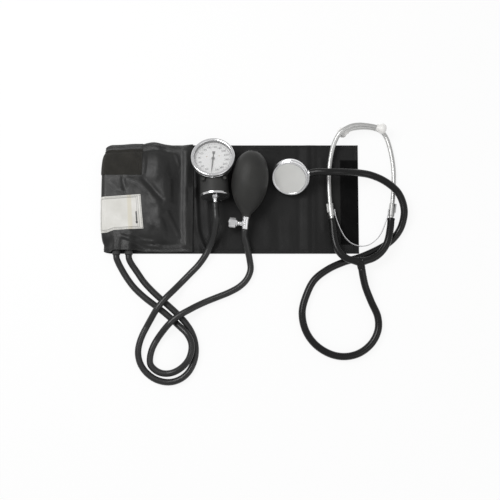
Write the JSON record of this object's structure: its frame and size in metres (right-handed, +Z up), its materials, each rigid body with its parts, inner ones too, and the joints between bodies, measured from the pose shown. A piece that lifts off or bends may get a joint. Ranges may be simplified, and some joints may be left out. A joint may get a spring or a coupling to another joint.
{
  "type": "aneroid sphygmomanometer",
  "caption": "Arm blood-pressure set: folded cloth cuff with bladder, dial gauge, hand bulb with screw valve, air hoses, and a stethoscope laid across it.",
  "frame": {"origin": "centre of the cuff's lower layer, on its underside, where the set rests", "axes": "+X along the cuff from its fold to its open end, +Y across the cuff towards the dial and the ear tips, +Z up off the table"},
  "size_m": [0.3981, 0.3387, 0.0503],
  "materials": {
    "cuff_cloth": "coated woven nylon, satin",
    "lining_cloth": "woven nylon, matte",
    "hook_tape": "hook tape, matte",
    "loop_tape": "ribbed loop tape, matte",
    "label_film": "printed film, matte",
    "bladder_rubber": "matte",
    "hose_rubber": "smooth, half matte",
    "bulb_rubber": "matte",
    "black_enamel": "satin",
    "chrome_plate": "polished",
    "clear_crystal": "clear",
    "dial_white": "matte",
    "pointer_black": "matte",
    "movement_brass": "turned",
    "capsule_bronze": "pressed sheet",
    "spring_steel": "brushed",
    "diaphragm_film": "satin",
    "ear_tip_soft": "soft, matte"
  },
  "bodies": {
    "cuff_set": {"cuff_outer_shell": "cuff_cloth", "cuff_inner_lining": "lining_cloth", "bladder": "bladder_rubber", "hook_patch": "hook_tape", "loop_patch": "loop_tape", "blank_label": "label_film", "hose_necks": "bladder_rubber", "gauge_case": "black_enamel", "gauge_bezel": "chrome_plate", "gauge_crystal": "clear_crystal", "dial_plate": "dial_white", "movement_frame": "movement_brass", "hairspring": "spring_steel", "aneroid_capsule": "capsule_bronze", "gauge_base_plate": "chrome_plate", "gauge_nipple": "chrome_plate", "gauge_screws": "chrome_plate", "gauge_clip": "spring_steel", "inflation_bulb": "bulb_rubber", "inlet_valve_body": "chrome_plate", "release_valve_body": "chrome_plate", "gauge_hose": "hose_rubber", "bulb_hose": "hose_rubber"},
    "pointer": {"pointer": "pointer_black", "pointer_pinion": "movement_brass"},
    "sector": {"sector_gear": "movement_brass"},
    "rod": {"push_rod": "spring_steel"},
    "inlet_ball": {"inlet_valve_ball": "spring_steel"},
    "outlet_ball": {"outlet_valve_ball": "spring_steel"},
    "screw_seal": {"release_seal": "hose_rubber"},
    "thumb_screw": {"release_screw": "chrome_plate"},
    "stethoscope": {"chestpiece_body": "chrome_plate", "diaphragm": "diaphragm_film", "diaphragm_ring": "chrome_plate", "chestpiece_stem": "chrome_plate", "listening_tube": "hose_rubber", "yoke": "hose_rubber", "leaf_spring": "spring_steel"},
    "left_ear": {"yoke_left_arm": "hose_rubber", "ear_tube_left": "chrome_plate", "ear_tip_left": "ear_tip_soft", "spring_sleeve_left": "chrome_plate"},
    "right_ear": {"yoke_right_arm": "hose_rubber", "ear_tube_right": "chrome_plate", "ear_tip_right": "ear_tip_soft", "spring_sleeve_right": "chrome_plate"}
  },
  "joints": [
    {"name": "sector_turn", "type": "hinge", "parent": "cuff_set", "child": "sector", "pos_m": [-0.02285, 0.03232, 0.04492], "axis": [-0.0179, 0.3416, 0.9397], "range_deg": [0, 42.19]},
    {"name": "pointer_turn", "type": "hinge", "parent": "cuff_set", "child": "pointer", "pos_m": [-0.02123, 0.04918, 0.03883], "axis": [0.0179, -0.3416, -0.9397], "range_deg": [0, 337.5]},
    {"name": "push_rod_slide", "type": "slide", "parent": "cuff_set", "child": "rod", "axis": [-0.0518, 0.9889, -0.1392], "range_m": [0, 0.00176]},
    {"name": "inlet_ball_slide", "type": "slide", "parent": "cuff_set", "child": "inlet_ball", "axis": [-0.1035, -0.9848, -0.1392], "range_m": [0, 0.0008]},
    {"name": "outlet_ball_slide", "type": "slide", "parent": "cuff_set", "child": "outlet_ball", "axis": [-0.1035, -0.9848, -0.1392], "range_m": [0, 0.0008]},
    {"name": "screw_advance", "type": "slide", "parent": "cuff_set", "child": "screw_seal", "axis": [-0.9945, 0.1045, 0], "range_m": [0, 0.0014]},
    {"name": "screw_turn", "type": "hinge", "parent": "screw_seal", "child": "thumb_screw", "pos_m": [0.02003, -0.03474, 0.01838], "axis": [-0.9945, 0.1045, 0], "range_deg": [0, 720]},
    {"name": "stethoscope_lift", "type": "slide", "parent": "cuff_set", "child": "stethoscope", "axis": [0, 0, 1], "range_m": [0, 0.08]},
    {"name": "left_ear_spread", "type": "hinge", "parent": "stethoscope", "child": "left_ear", "pos_m": [0.167, -0.083, 0.015], "axis": [0, 0, 1], "range_deg": [0, 8], "stiffness_Nm_per_rad": 0.4},
    {"name": "right_ear_spread", "type": "hinge", "parent": "stethoscope", "child": "right_ear", "pos_m": [0.167, -0.083, 0.015], "axis": [0, 0, -1], "range_deg": [0, 3], "stiffness_Nm_per_rad": 0.4}
  ],
  "couplings": [
    {"joint": "pointer_turn", "follows": "sector_turn", "ratio": 8},
    {"joint": "push_rod_slide", "follows": "sector_turn", "m_per_rad": 0.0023905},
    {"joint": "screw_advance", "follows": "screw_turn", "m_per_rad": 0.00011141}
  ]
}
